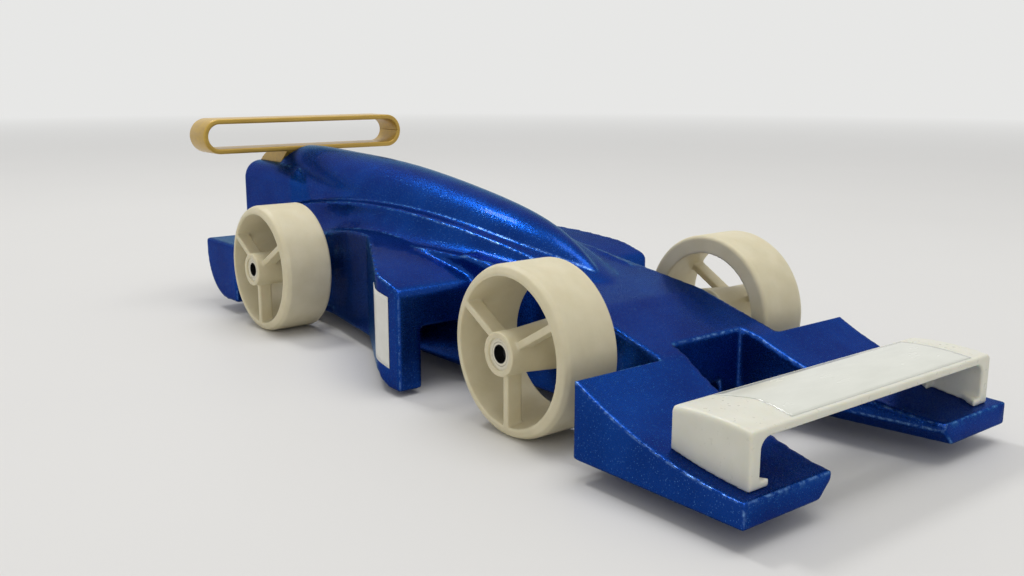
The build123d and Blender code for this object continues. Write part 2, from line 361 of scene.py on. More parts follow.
def sheet_mesh(name: str, rows: list[list[Vector]], thickness: float) -> Mesh:
    """A thin closed sheet over a net of points.

    Args:
        name: the mesh's name.
        rows: rows of points on the sheet's outer face, each row as long as the next.
        thickness: how far the sheet goes in from them.

    Returns:
        The mesh, with its faces outward.
    """
    work = bmesh.new()
    net = [[work.verts.new(point) for point in row] for row in rows]
    for low, high in zip(net, net[1:]):
        for a, b, c, d in zip(low, low[1:], high[1:], high):
            work.faces.new((a, b, c, d))
    bmesh.ops.recalc_face_normals(work, faces=work.faces)
    bmesh.ops.solidify(work, geom=work.faces[:], thickness=thickness)
    bmesh.ops.recalc_face_normals(work, faces=work.faces)
    mesh = bpy.data.meshes.new(name)
    work.to_mesh(mesh)
    work.free()
    return mesh


class Tree:
    """A Geometry Nodes tree with named inputs, and short calls that add and link its nodes."""

    def __init__(self, name: str, sizes: dict[str, float]) -> None:
        """Starts a tree that takes points and gives a shape.

        Args:
            name: the tree's name.
            sizes: the names of its number inputs, with their values.
        """
        self.group = bpy.data.node_groups.new(name, "GeometryNodeTree")
        self.sizes = sizes
        face = self.group.interface
        face.new_socket("Geometry", in_out="INPUT", socket_type="NodeSocketGeometry")
        for label in sizes:
            face.new_socket(label, in_out="INPUT", socket_type="NodeSocketFloat")
        face.new_socket("Finish", in_out="INPUT", socket_type="NodeSocketMaterial")
        face.new_socket("Geometry", in_out="OUTPUT", socket_type="NodeSocketGeometry")
        self.inputs = self.group.nodes.new("NodeGroupInput").outputs

    def add(self, kind: str, **links: Socket | float | int | bool | Triple) -> bpy.types.Node:
        """Adds a node and fills its inputs.

        Args:
            kind: the node's type, without its prefix.
            **links: input names with underscores for spaces, and a socket or a value for each.

        Returns:
            The node.
        """
        node = self.group.nodes.new(f"GeometryNode{kind}")
        for name, source in links.items():
            socket = node.inputs[name.replace("_", " ")]
            if isinstance(source, Socket):
                self.group.links.new(source, socket)
            else:
                socket.default_value = source
        return node

    def reckon(self, operation: str, first: Socket, second: Socket | float) -> Socket:
        """Adds a sum with two numbers.

        Args:
            operation: ADD, SUBTRACT or another of the math node's names.
            first: the first number's socket.
            second: the second number or its socket.

        Returns:
            The result's socket.
        """
        node = self.group.nodes.new("ShaderNodeMath")
        node.operation = operation
        self.group.links.new(first, node.inputs[0])
        if isinstance(second, Socket):
            self.group.links.new(second, node.inputs[1])
        else:
            node.inputs[1].default_value = second
        return node.outputs["Value"]

    def rounded_box(self, width: Socket, height: Socket, radius: Socket, steps: int) -> Socket:
        """Adds a closed rectangle with round corners.

        Args:
            width: its width, along X.
            height: its height, along Y.
            radius: the radius of its corners.
            steps: the points on each corner.

        Returns:
            The curve's socket.
        """
        box = self.add("CurvePrimitiveQuadrilateral", Width=width, Height=height)
        fillet = self.add("FilletCurve", Curve=box.outputs["Curve"], Radius=radius, Limit_Radius=True)
        fillet.mode = "POLY"
        fillet.inputs["Count"].default_value = steps
        return fillet.outputs["Curve"]

    def finish(self, shape: Socket, turn: Triple) -> None:
        """Puts the shape on each point of the host and ends the tree.

        Args:
            shape: the shape's socket.
            turn: how the shape is turned on each point, in radians about X, Y and Z.
        """
        copies = self.add("InstanceOnPoints", Points=self.inputs["Geometry"], Instance=shape, Rotation=turn)
        real = self.add("RealizeInstances", Geometry=copies.outputs["Instances"])
        dressed = self.add("SetMaterial", Geometry=real.outputs["Geometry"], Material=self.inputs["Finish"])
        end = self.group.nodes.new("NodeGroupOutput")
        self.group.links.new(dressed.outputs["Geometry"], end.inputs["Geometry"])

    def mesh(self, points: list[Vector], material: Material) -> Mesh:
        """Runs the tree on a host of loose points.

        Args:
            points: the places of the shape.
            material: its finish.

        Returns:
            The result as a plain mesh, with its faces outward.
        """
        host_mesh = bpy.data.meshes.new(f"{self.group.name}_host")
        host_mesh.from_pydata(points, [], [])
        host = bpy.data.objects.new(host_mesh.name, host_mesh)
        bpy.context.scene.collection.objects.link(host)
        modifier = host.modifiers.new("shape", "NODES")
        modifier.node_group = self.group
        values = {**self.sizes, "Finish": material}
        for socket in self.group.interface.items_tree:
            if socket.in_out == "INPUT" and socket.name in values:
                modifier[socket.identifier] = values[socket.name]
        graph = bpy.context.evaluated_depsgraph_get()
        mesh = bpy.data.meshes.new_from_object(host.evaluated_get(graph))
        bpy.data.objects.remove(host)
        bpy.data.meshes.remove(host_mesh)
        work = bmesh.new()
        work.from_mesh(mesh)
        bmesh.ops.recalc_face_normals(work, faces=work.faces)
        work.to_mesh(mesh)
        work.free()
        return mesh


@dataclass(frozen=True)
class FlakePaint:
    """Deep blue flake paint under a thin clear coat, with a painted highlight, partly rubbed paint, in
    patches on the edges.
    """

    deep: Colour = (0.003, 0.027, 0.180)
    bright: Colour = (0.006, 0.046, 0.265)
    spark: Colour = (0.120, 0.300, 0.680)
    rubbed_and_glint: Colour = (0.260, 0.480, 0.850)
    tint: Colour = (0.04, 0.42, 0.60)
    cloud_size: float = 9 * MM
    flake_size: float = 0.11 * MM
    flake_tilt: float = 0.16
    flake_roughness: Span = (0.20, 0.34)
    bright_flakes: Span = (0.96, 1.0)
    spark_share: float = 0.5
    peel_size: float = 2.2 * MM
    peel_depth: float = 0.010 * MM
    wear_and_glint_size: float = 0.9 * MM
    wear_and_glint_patches: Span = (0.42, 0.66)
    wear_and_glint_reach: Span = (0.6, 1.0)
    wear_and_glint: float = 0.8

    def build(self) -> Material:
        """Makes the material.

        Returns:
            The material.
        """
        graph = Graph("blue_flake_paint")
        graph.set(Metallic=0.85, Specular_IOR_Level=0.1, Specular_Tint=self.tint)
        graph.set(Coat_Weight=0.09, Coat_Roughness=0.06, Coat_IOR=1.4)
        flakes = graph.cells(self.flake_size)
        base = graph.blend(graph.noise(self.cloud_size, detail=4.0), self.deep, self.bright)
        split = graph.nodes.new("ShaderNodeSeparateColor")
        graph.links.new(flakes.outputs["Color"], split.inputs["Color"])
        lit = graph.fit(split.outputs["Green"], self.bright_flakes, (0.0, self.spark_share))
        sparkled = graph.mix(lit, base, self.spark)
        # Painted highlight along the edges, partly rubbed-through paint, broken into patches by noise.
        patches = graph.fit(graph.noise(self.wear_and_glint_size, detail=4.0), self.wear_and_glint_patches, (0.0, self.wear_and_glint))
        along = graph.fit(graph.attribute(EDGE_ATTRIBUTE), self.wear_and_glint_reach)
        graph.link(graph.mix(graph.times(along, patches), sparkled, self.rubbed_and_glint), "Base Color")
        graph.link(graph.fit(split.outputs["Red"], (0.0, 1.0), self.flake_roughness), "Roughness")
        graph.link(self.flake_normal(graph, flakes.outputs["Color"]), "Normal")
        peel = graph.bump(graph.noise(self.peel_size, detail=2.0), self.peel_depth)
        graph.link(peel, "Coat Normal")
        return graph.material

    def flake_normal(self, graph: Graph, colour: Socket) -> Socket:
        """Tilts the surface a little at random for each flake.

        Args:
            graph: the material's graph.
            colour: a random colour for each flake.

        Returns:
            The tilted normal's socket.
        """
        centred = graph.nodes.new("ShaderNodeVectorMath")
        centred.operation = "SUBTRACT"
        centred.inputs[1].default_value = (0.5, 0.5, 0.5)
        graph.links.new(colour, centred.inputs[0])
        scaled = graph.nodes.new("ShaderNodeVectorMath")
        scaled.operation = "MULTIPLY_ADD"
        scaled.inputs[1].default_value = (self.flake_tilt,) * 3
        graph.links.new(centred.outputs["Vector"], scaled.inputs[0])
        surface = graph.nodes.new("ShaderNodeNewGeometry")
        graph.links.new(surface.outputs["Normal"], scaled.inputs[2])
        unit = graph.nodes.new("ShaderNodeVectorMath")
        unit.operation = "NORMALIZE"
        graph.links.new(scaled.outputs["Vector"], unit.inputs[0])
        return unit.outputs["Vector"]


@dataclass(frozen=True)
class PrintedPlastic:
    """Satin plastic from a printer, with a fine grain, faint clouds and light that soaks in."""

    name: str
    base: Colour
    shade: Colour
    roughness: float = 0.5
    gloss_size: float = 0.9 * MM
    gloss_spread: float = 0.08
    soak: float = 0.25
    soak_reach: float = 0.8 * MM
    soak_colours: Triple = (1.0, 0.8, 0.5)
    cloud_size: float = 3.5 * MM
    grain_size: float = 0.12 * MM
    grain_depth: float = 0.003 * MM
    layer_size: float = 0.35 * MM
    layer_stretch: Triple = (0.04, 1.0, 0.04)
    layer_depth: float = 0.004 * MM

    def build(self) -> Material:
        """Makes the material.

        Returns:
            The material.
        """
        graph = Graph(self.name)
        graph.set(Subsurface_Weight=self.soak, Subsurface_Scale=self.soak_reach)
        graph.set(Coat_Weight=0.08, Coat_Roughness=0.3)
        graph.shader.inputs["Subsurface Radius"].default_value = self.soak_colours
        cloud = graph.noise(self.cloud_size, detail=4.0)
        graph.link(graph.blend(cloud, self.shade, self.base), "Base Color")
        spread = (self.roughness - self.gloss_spread, self.roughness + self.gloss_spread)
        graph.link(graph.fit(graph.noise(self.gloss_size), NOISE_RANGE, spread), "Roughness")
        grain = graph.bump(graph.noise(self.grain_size, detail=2.0), self.grain_depth)
        layers = graph.noise(self.layer_size, detail=1.0, stretch=self.layer_stretch)
        graph.link(graph.bump(layers, self.layer_depth, grain), "Normal")
        return graph.material


@dataclass(frozen=True)
class PatternedFinish:
    """A finish whose pattern runs between two tones and two degrees of roughness, with a fine relief.

    The relief is a grain of its own or, without a grain size, the pattern itself.
    """

    name: str
    base: Colour
    shade: Colour
    size: float
    depth: float
    roughness: Span
    stretch: Triple = ALL_AXES
    detail: float = 3.0
    tones: Span = NOISE_RANGE
    glosses: Span = NOISE_RANGE
    grain_size: float | None = None
    grain_stretch: Triple = ALL_AXES
    metallic: float = 0.0
    coat: float = 0.0
    coat_roughness: float = 0.0

    def build(self) -> Material:
        """Makes the material.

        Returns:
            The material.
        """
        graph = Graph(self.name)
        graph.set(Metallic=self.metallic, Coat_Weight=self.coat, Coat_Roughness=self.coat_roughness)
        pattern = graph.noise(self.size, self.detail, self.stretch)
        graph.link(graph.blend(pattern, self.shade, self.base, self.tones), "Base Color")
        graph.link(graph.fit(pattern, self.glosses, self.roughness), "Roughness")
        relief = graph.noise(self.grain_size, stretch=self.grain_stretch) if self.grain_size else pattern
        graph.link(graph.bump(relief, self.depth), "Normal")
        return graph.material


BRUSHED_GOLD = PatternedFinish(
    "gold_paint",
    base=(0.58, 0.38, 0.062),
    shade=(0.46, 0.28, 0.040),
    size=1.2 * MM,
    depth=0.012 * MM,
    roughness=(0.34, 0.5),
    stretch=(1.0, 0.12, 1.0),
    detail=4.0,
    grain_size=0.3 * MM,
    metallic=0.35,
    coat=0.3,
    coat_roughness=0.2,
)
TURNED_BRASS = PatternedFinish(
    "turned_brass",
    base=(0.70, 0.50, 0.20),
    shade=(0.55, 0.38, 0.14),
    size=0.15 * MM,
    depth=0.003 * MM,
    roughness=(0.22, 0.38),
    stretch=(0.1, 1.0, 0.1),
    tones=(0.35, 0.65),
    glosses=(0.35, 0.65),
    metallic=1.0,
)
BENT_STEEL = replace(TURNED_BRASS, name="bent_steel", base=(0.60, 0.60, 0.60), shade=(0.45, 0.45, 0.46))
CARBON_ROD = PatternedFinish(
    "carbon_rod",
    base=(0.035, 0.035, 0.038),
    shade=(0.012, 0.012, 0.013),
    size=0.2 * MM,
    depth=0.005 * MM,
    roughness=(0.3, 0.5),
    stretch=(1.0, 0.03, 1.0),
    tones=(0.4, 0.7),
    coat=0.4,
    coat_roughness=0.15,
)
LABEL_PAPER = PatternedFinish(
    "blank_label",
    base=(0.80, 0.79, 0.74),
    shade=(0.74, 0.73, 0.67),
    size=2.5 * MM,
    depth=0.006 * MM,
    roughness=(0.36, 0.46),
    detail=4.0,
    grain_size=0.15 * MM,
    grain_stretch=(1.0, 1.0, 0.4),
    coat=0.2,
    coat_roughness=0.2,
)
GLOSSY_FILM = PatternedFinish(
    "clear_film",
    base=(0.74, 0.75, 0.67),
    shade=(0.69, 0.70, 0.62),
    size=3.0 * MM,
    depth=0.02 * MM,
    roughness=(0.16, 0.28),
    stretch=(1.0, 0.4, 1.0),
    coat=0.3,
    coat_roughness=0.1,
)


@dataclass(frozen=True)
class BearingCream:
    """Polished cream rings, near black inside the bore round the axle's line."""

    base: Colour = (0.78, 0.73, 0.58)
    shade: Colour = (0.70, 0.65, 0.50)
    bore_dark: Colour = (0.006, 0.006, 0.006)
    bore: float = 1.56 * MM
    blur: float = 0.04 * MM
    round_axle: Triple = (1.0, 0.0, 1.0)
    cloud_size: float = 1.5 * MM
    roughness: Span = (0.24, 0.36)
    grain_size: float = 0.2 * MM
    grain_depth: float = 0.004 * MM

    def build(self, axle: Axle) -> Material:
        """Makes the material.

        Args:
            axle: the axle that the rings sit on.

        Returns:
            The material.
        """
        graph = Graph(f"bearing_cream_{axle.value}")
        graph.set(Coat_Weight=0.3, Coat_Roughness=0.12)
        cloud = graph.noise(self.cloud_size)
        cream = graph.blend(cloud, self.shade, self.base)
        radius = graph.distance(middle_of(f"{axle.value}_axle"), self.round_axle)
        # Near black within the bore radius of the axle's line, cream outside it.
        outside = graph.fit(radius, (self.bore, self.bore + self.blur))
        graph.link(graph.mix(outside, self.bore_dark, cream), "Base Color")
        graph.link(graph.fit(cloud, NOISE_RANGE, self.roughness), "Roughness")
        graph.link(graph.bump(graph.noise(self.grain_size, detail=2.0), self.grain_depth), "Normal")
        return graph.material


@dataclass(frozen=True)
class FloorFinish:
    """The plain pale floor, which keeps the car's shadow and fades into the backdrop far away."""

    backdrop: Colour
    base: Colour = (0.74, 0.73, 0.71)
    cloud_size: float = 0.12
    cloud_lift: float = 1.02
    fade: Span = (0.28, 1.3)

    def build(self) -> Material:
        """Makes the material.

        Returns:
            The material.
        """
        graph = Graph("pale_floor")
        lighter = tuple(channel * self.cloud_lift for channel in self.base)
        graph.link(graph.blend(graph.noise(self.cloud_size), self.base, lighter), "Base Color")
        graph.set(Roughness=0.55)
        away = graph.fit(graph.distance(Vector((0, 0, 0))), self.fade)
        share = graph.times(away, looked_at(graph.nodes, graph.links))
        glow = graph.nodes.new("ShaderNodeEmission")
        glow.inputs["Color"].default_value = (*self.backdrop, 1.0)
        blend = graph.nodes.new("ShaderNodeMixShader")
        graph.links.new(share, blend.inputs["Fac"])
        graph.links.new(graph.shader.outputs["BSDF"], blend.inputs[1])
        graph.links.new(glow.outputs["Emission"], blend.inputs[2])
        graph.links.new(blend.outputs["Shader"], graph.nodes["Material Output"].inputs["Surface"])
        return graph.material


def looked_at(nodes: bpy.types.Nodes, links: bpy.types.NodeLinks) -> Socket:
    """Adds a value that is 1 for what the camera sees, also in a mirror or through glass.

    Args:
        nodes: the tree's nodes.
        links: the tree's links.

    Returns:
        The value's socket.
    """
    rays = nodes.new("ShaderNodeLightPath")
    seen = rays.outputs["Is Camera Ray"]
    for name in ("Is Glossy Ray", "Is Transmission Ray"):
        either = nodes.new("ShaderNodeMath")
        either.operation = "MAXIMUM"
        links.new(seen, either.inputs[0])
        links.new(rays.outputs[name], either.inputs[1])
        seen = either.outputs["Value"]
    return seen


@dataclass(frozen=True)
class SkinRecipe:
    """How a node's mesh becomes a smooth skin with softened edges.

    Each round of smoothing pulls every point towards the middle of its neighbours, then pushes it
    back by a little more, so that the skin keeps its size. It is weakest within the near distance
    of a crease, by the edge share, and full past the far distance.
    """

    voxel: float
    rounds: int
    crease_degrees: float = 32.0
    near: float = 0.5 * MM
    far: float = 2.4 * MM
    edge_share: float = 0.5
    pull: float = 0.6
    push: float = -0.61
    merge: float = 0.0005 * MM
    most_triangles: int = 170_000


class Skin:
    """A smooth skin over one CAD node: its surface remeshed, with its curved faces smoothed out."""

    def __init__(self, node: str, recipe: SkinRecipe) -> None:
        """Names the skin.

        Args:
            node: the CAD node's name.
            recipe: how the skin is made.
        """
        self.node = node
        self.recipe = recipe

    def build(self, body: str, material: Material, slot: str) -> Object:
        """Makes the skin and puts it in the node's place.

        Args:
            body: the CAD body that the skin rides on.
            material: its finish.
            slot: the record's material slot; not used.

        Returns:
            The skin.
        """
        merged = self.merged_copy()
        creases = self.crease_points(merged)
        mesh = self.remeshed(merged)
        self.smooth(mesh, creases)
        mesh = self.thinned(mesh)
        self.mark_edges(mesh, creases)
        skin = placed(f"{self.node}_skin", mesh, material)
        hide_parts(self.node)
        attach(skin, body)
        report(skin)
        return skin

    def merged_copy(self) -> Object:
        """A copy of the node with its doubled points merged.

        Returns:
            The copy.
        """
        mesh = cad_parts[self.node].data.copy()
        work = bmesh.new()
        work.from_mesh(mesh)
        bmesh.ops.remove_doubles(work, verts=work.verts, dist=self.recipe.merge)
        work.to_mesh(mesh)
        work.free()
        copy = bpy.data.objects.new(f"{self.node}_work", mesh)
        bpy.context.scene.collection.objects.link(copy)
        return copy

    def crease_points(self, copy: Object) -> np.ndarray:
        """Points along the sharp edges of the node.

        Args:
            copy: the merged copy.

        Returns:
            The points, one in each row.
        """
        limit = math.radians(self.recipe.crease_degrees)
        step = self.recipe.voxel
        points = []
        work = bmesh.new()
        work.from_mesh(copy.data)
        for edge in work.edges:
            if len(edge.link_faces) == 2 and edge.calc_face_angle(0.0) < limit:
                continue
            start, end = (v.co.copy() for v in edge.verts)
            count = max(1, math.ceil((end - start).length / step))
            points += [start.lerp(end, i / count) for i in range(count + 1)]
        work.free()
        return np.array(points)

    def remeshed(self, copy: Object) -> Mesh:
        """The copy's surface as an even net of small faces.

        Args:
            copy: the merged copy, which is deleted.

        Returns:
            The new mesh.
        """
        modifier = copy.modifiers.new("net", "REMESH")
        modifier.mode = "VOXEL"
        modifier.voxel_size = self.recipe.voxel
        graph = bpy.context.evaluated_depsgraph_get()
        mesh = bpy.data.meshes.new_from_object(copy.evaluated_get(graph))
        old = copy.data
        bpy.data.objects.remove(copy)
        bpy.data.meshes.remove(old)
        return mesh

    def smooth(self, mesh: Mesh, creases: np.ndarray) -> None:
        """Smooths the mesh, less near the creases.

        Args:
            mesh: the mesh, which is changed.
            creases: points along the sharp edges.
        """
        count = len(mesh.vertices)
        points = points_of(mesh)
        ends = np.empty(len(mesh.edges) * 2, np.int64)
        mesh.edges.foreach_get("vertices", ends)
        ends = ends.reshape(-1, 2)
        distance = self.distance_to(points, creases)
        recipe = self.recipe
        ease = np.clip((distance - recipe.near) / (recipe.far - recipe.near), 0, 1)
        weight = recipe.edge_share + (1 - recipe.edge_share) * ease * ease * (3 - 2 * ease)
        degree = np.bincount(ends.ravel(), minlength=count)[:, None]
        low, high = points.min(0), points.max(0)
        for step in range(2 * recipe.rounds):
            total = np.empty_like(points)
            for axis in range(3):
                total[:, axis] = np.bincount(ends[:, 0], points[ends[:, 1], axis], count)
                total[:, axis] += np.bincount(ends[:, 1], points[ends[:, 0], axis], count)
            move = recipe.pull if step % 2 == 0 else recipe.push
            points += move * weight[:, None] * (total / degree - points)
        points = np.clip(points, low, high)
        mesh.vertices.foreach_set("co", points.ravel())
        mesh.update()

    def thinned(self, mesh: Mesh) -> Mesh:
        """The mesh with fewer triangles where it is flat, if it has too many.

        Args:
            mesh: the smoothed mesh.

        Returns:
            The same mesh or a thinner one.
        """
        count = 2 * len(mesh.polygons)
        if count <= self.recipe.most_triangles:
            return mesh
        holder = bpy.data.objects.new(f"{self.node}_work", mesh)
        bpy.context.scene.collection.objects.link(holder)
        modifier = holder.modifiers.new("thin", "DECIMATE")
        modifier.ratio = self.recipe.most_triangles / count
        graph = bpy.context.evaluated_depsgraph_get()
        thin = bpy.data.meshes.new_from_object(holder.evaluated_get(graph))
        bpy.data.objects.remove(holder)
        bpy.data.meshes.remove(mesh)
        return thin

    def mark_edges(self, mesh: Mesh, creases: np.ndarray) -> None:
        """Gives each point of the mesh a value that is 1 on a crease and 0 away from it.

        Args:
            mesh: the finished mesh.
            creases: points along the sharp edges.
        """
        distance = self.distance_to(points_of(mesh), creases)
        mark = mesh.attributes.new(EDGE_ATTRIBUTE, "FLOAT", "POINT")
        near = 1 - np.clip(distance / (2 * self.recipe.near), 0, 1)
        mark.data.foreach_set("value", near.astype(np.float32))

    def distance_to(self, points: np.ndarray, creases: np.ndarray) -> np.ndarray:
        """The distance of each point to the nearest crease point.

        Args:
            points: the points, one in each row.
            creases: the crease points, one in each row.

        Returns:
            One distance for each point.
        """
        tree = KDTree(len(creases))
        for index, point in enumerate(creases):
            tree.insert(point, index)
        tree.balance()
        return np.array([tree.find(point)[2] for point in points])


@dataclass
class Bodywork:
    """The painted body block with its chamber."""

    recipe: SkinRecipe = SkinRecipe(0.42 * MM, rounds=50, edge_share=0.85)

    def build(self, paint: Material) -> None:
        """Makes the body's skin.

        Args:
            paint: the body's finish.
        """
        Skin("body_shell", self.recipe).build(CHASSIS, paint, "blue_paint")


@dataclass
class FrontWing:
    """The white bridge-shaped wing on the prongs."""

    recipe: SkinRecipe = SkinRecipe(0.22 * MM, rounds=30, near=0.3 * MM, far=1.2 * MM, edge_share=0.85)

    def build(self, resin: Material) -> None:
        """Makes the wing's skin.

        Args:
            resin: the wing's finish.
        """
        Skin("front_wing", self.recipe).build(CHASSIS, resin, "white_resin")


@dataclass
class WingFilm:
    """The blank film that lies over the top of the front wing."""

    near_edge: tuple[Span, ...] = ((0.6 * MM, 7.8 * MM), (6.3 * MM, 10.1 * MM), (13.0 * MM, 8.8 * MM))
    far_inset: float = 5.0 * MM
    lift: float = 0.035 * MM
    thickness: float = 0.03 * MM
    drop: float = 1.0 * MM
    columns: int = 61

    def build(self, film: Material) -> None:
        """Makes the film.

        Args:
            film: its finish.
        """
        low, high = (Vector(corner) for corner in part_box("front_wing"))
        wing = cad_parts["front_wing"].data
        faces = BVHTree.FromPolygons([v.co for v in wing.vertices], [p.vertices for p in wing.polygons])
        down = Vector((0, 0, -1))
        rows = []
        for start, inset in self.resampled():
            ys = np.linspace(low.y + inset, high.y - self.far_inset, self.columns)
            tops = [faces.ray_cast(Vector((low.x + start, y, high.z + self.drop)), down)[0] for y in ys]
            rows.append([top - self.lift * down for top in tops])
        add_piece("wing_film", sheet_mesh("wing_film", rows, self.thickness), film, CHASSIS)

    def resampled(self, count: int = 15) -> list[Span]:
        """Points along the film's near edge, closer together than the measured ones.

        Args:
            count: how many points.

        Returns:
            Pairs of the place along the chord and the distance in from the wing's right end.
        """
        starts, insets = zip(*self.near_edge)
        places = np.linspace(starts[0], starts[-1], count)
        return list(zip(places, np.interp(places, starts, insets)))


@dataclass
class PodLabel:
    """The blank paper label that goes round the corner of the right pod."""

    front_run: float = 32.1 * MM
    corner_run: float = 36.5 * MM
    corner_radius: float = 7.0 * MM
    turn: float = math.radians(27.6)
    wall: float = 32.0 * MM
    top_length: float = 8.5 * MM
    bottom_length: float = 6.4 * MM
    front_heights: Span = (4.9 * MM, 18.5 * MM)
    rear_heights: Span = (6.0 * MM, 19.8 * MM)
    lift: float = 0.12 * MM
    thickness: float = 0.1 * MM
    columns: int = 25
    levels: int = 13

    def build(self, paper: Material) -> None:
        """Makes the label.

        Args:
            paper: its finish.
        """
        rows = []
        for up in np.linspace(0, 1, self.levels):
            length = self.bottom_length + up * (self.top_length - self.bottom_length)
            row = []
            for along in np.linspace(0, 1, self.columns):
                ends = zip(self.front_heights, self.rear_heights)
                bottom, top = (front + along * (rear - front) for front, rear in ends)
                row.append(self.point(length * along, (1 - up) * bottom + up * top))
            rows.append(row)
        add_piece("pod_label", sheet_mesh("pod_label", rows, self.thickness), paper, CHASSIS)

    def point(self, way: float, height: float) -> Vector:
        """The point of the label's face a way back from its front edge.

        Args:
            way: the distance round the wall from the front edge.
            height: the height over the ground.

        Returns:
            The point.
        """
        tangent = self.corner_radius * math.tan(self.turn / 2)
        straight = self.corner_run - tangent - self.front_run
        angle = min(max((way - straight) / self.corner_radius, 0.0), self.turn)
        rest = way - min(way, straight) - angle * self.corner_radius
        run = min(way, straight) + self.corner_radius * math.sin(angle) + rest * math.cos(angle)
        inward = self.corner_radius * (1 - math.cos(angle)) + rest * math.sin(angle)
        x = middle_of("front_axle").x - self.front_run - run - self.lift * math.sin(angle)
        return Vector((x, inward - self.wall - self.lift * math.cos(angle), height))


@dataclass
class RearWing:
    """The gold loop, a flat strip bent round in one closed path, and its saddle."""

    wall: float = 1.25 * MM
    edge_radius: float = 0.35 * MM
    end_share: float = 0.4999
    end_steps: int = 40
    edge_steps: int = 5
    recipe: SkinRecipe = SkinRecipe(0.2 * MM, rounds=8, near=0.3 * MM, far=1.2 * MM)

    def build(self, gold: Material) -> None:
        """Makes the loop and the saddle.

        Args:
            gold: the finish of both.
        """
        loop = add_piece("rear_wing_loop_strip", self.loop_mesh(gold), gold, CHASSIS)
        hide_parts("rear_wing_loop")
        Skin("rear_wing_saddle", self.recipe).build(CHASSIS, gold, "gold_paint")

    def loop_mesh(self, gold: Material) -> Mesh:
        """Sweeps the strip's rounded section along the loop's middle line.

        Args:
            gold: the strip's finish.

        Returns:
            The loop's mesh.
        """
        low, high = (Vector(corner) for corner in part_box("rear_wing_loop"))
        size = high - low
        sizes = {"Span": size.y, "Height": size.z, "Chord": size.x}
        tree = Tree("loop_strip", {**sizes, "Wall": self.wall, "Edge Radius": self.edge_radius})
        wall = tree.inputs["Wall"]
        width = tree.reckon("SUBTRACT", tree.inputs["Span"], wall)
        height = tree.reckon("SUBTRACT", tree.inputs["Height"], wall)
        end_radius = tree.reckon("MULTIPLY", height, self.end_share)
        path = tree.rounded_box(width, height, end_radius, self.end_steps)
        section = tree.rounded_box(wall, tree.inputs["Chord"], tree.inputs["Edge Radius"], self.edge_steps)
        strip = tree.add("CurveToMesh", Curve=path, Profile_Curve=section)
        tree.finish(strip.outputs["Mesh"], (math.pi / 2, 0.0, math.pi / 2))
        return tree.mesh([(low + high) / 2], gold)


@dataclass
class BearingShields:
    """The thin ring that closes the gap at the outer and the inner end of a wheel's bearings."""

    inner_radius: float = 2.02 * MM
    outer_radius: float = 2.42 * MM
    depth: float = 0.12 * MM
    proud: float = 0.03 * MM
    edge_radius: float = 0.05 * MM
    edge_steps: int = 3
    steps: int = 64

    def build(self, wheel: str, material: Material) -> None:
        """Makes a wheel's two shields.

        Args:
            wheel: the start of the names of the wheel's nodes.
            material: their finish.
        """
        sizes = {"Inner Radius": self.inner_radius, "Outer Radius": self.outer_radius, "Depth": self.depth}
        tree = Tree(f"{wheel}_shields", {**sizes, "Edge Radius": self.edge_radius})
        outer, inner = tree.inputs["Outer Radius"], tree.inputs["Inner Radius"]
        width = tree.reckon("SUBTRACT", outer, inner)
        middle = tree.reckon("MULTIPLY", tree.reckon("ADD", outer, inner), 0.5)
        circle = tree.add("CurvePrimitiveCircle", Resolution=self.steps, Radius=middle)
        section = tree.rounded_box(width, tree.inputs["Depth"], tree.inputs["Edge Radius"], self.edge_steps)
        ring = tree.add("CurveToMesh", Curve=circle.outputs["Curve"], Profile_Curve=section)
        tree.finish(ring.outputs["Mesh"], (math.pi / 2, 0.0, 0.0))
        low, high = (Vector(corner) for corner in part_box(f"{wheel}_outer_rings"))
        centre = (low + high) / 2
        sunk = self.depth / 2 - self.proud
        ends = [Vector((centre.x, y, centre.z)) for y in (low.y + sunk, high.y - sunk)]
        shields = add_piece(f"{wheel}_shields", tree.mesh(ends, material), material, f"{wheel}_roller")


@dataclass
class Wheel:
    """One printed wheel with its two bearings."""

    axle: Axle
    side: Side
    recipe: SkinRecipe = SkinRecipe(0.22 * MM, rounds=12, near=0.3 * MM, far=1.4 * MM, edge_share=0.6)

    @property
    def name(self) -> str:
        """The start of the names of the wheel's nodes.

        Returns:
            The words that its nodes' names start with.
        """
        return f"{self.axle.value}_{self.side.value}"

    def build(self, nylon: Material, ceramic: Material) -> None:
        """Makes the wheel's skin and dresses its bearings.

        Args:
            nylon: the wheel's finish.
            ceramic: the finish of the bearings.
        """
        Skin(f"{self.name}_wheel", self.recipe).build(f"{self.name}_roller", nylon, "white_nylon")
        dress(f"{self.name}_outer_rings", ceramic)
        BearingShields().build(self.name, ceramic)


def dress(node: str, material: Material) -> None:
    """Gives a CAD node its finish.

    Args:
        node: the node's name.
        material: its finish.
    """
    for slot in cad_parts[node].material_slots:
        slot.material = material


@dataclass(frozen=True)
class Lamp:
    """A square soft lamp, with its light as a share of the level at which a white renders white."""

    name: str
    place: Triple
    size: float
    share: float

    def build(self, target: Vector) -> None:
        """Hangs the lamp and turns it to a point.

        Args:
            target: the point that it lights.
        """
        light = bpy.data.lights.new(self.name, "AREA")
        light.shape = "SQUARE"
        light.size = self.size
        offset = Vector(self.place) - target
        light.energy = self.share * math.pi**2 * offset.length_squared
        lamp = bpy.data.objects.new(self.name, light)
        lamp.location = Vector(self.place)
        lamp.rotation_mode = "QUATERNION"
        lamp.rotation_quaternion = offset.to_track_quat("Z", "Y")
        bpy.context.scene.collection.objects.link(lamp)


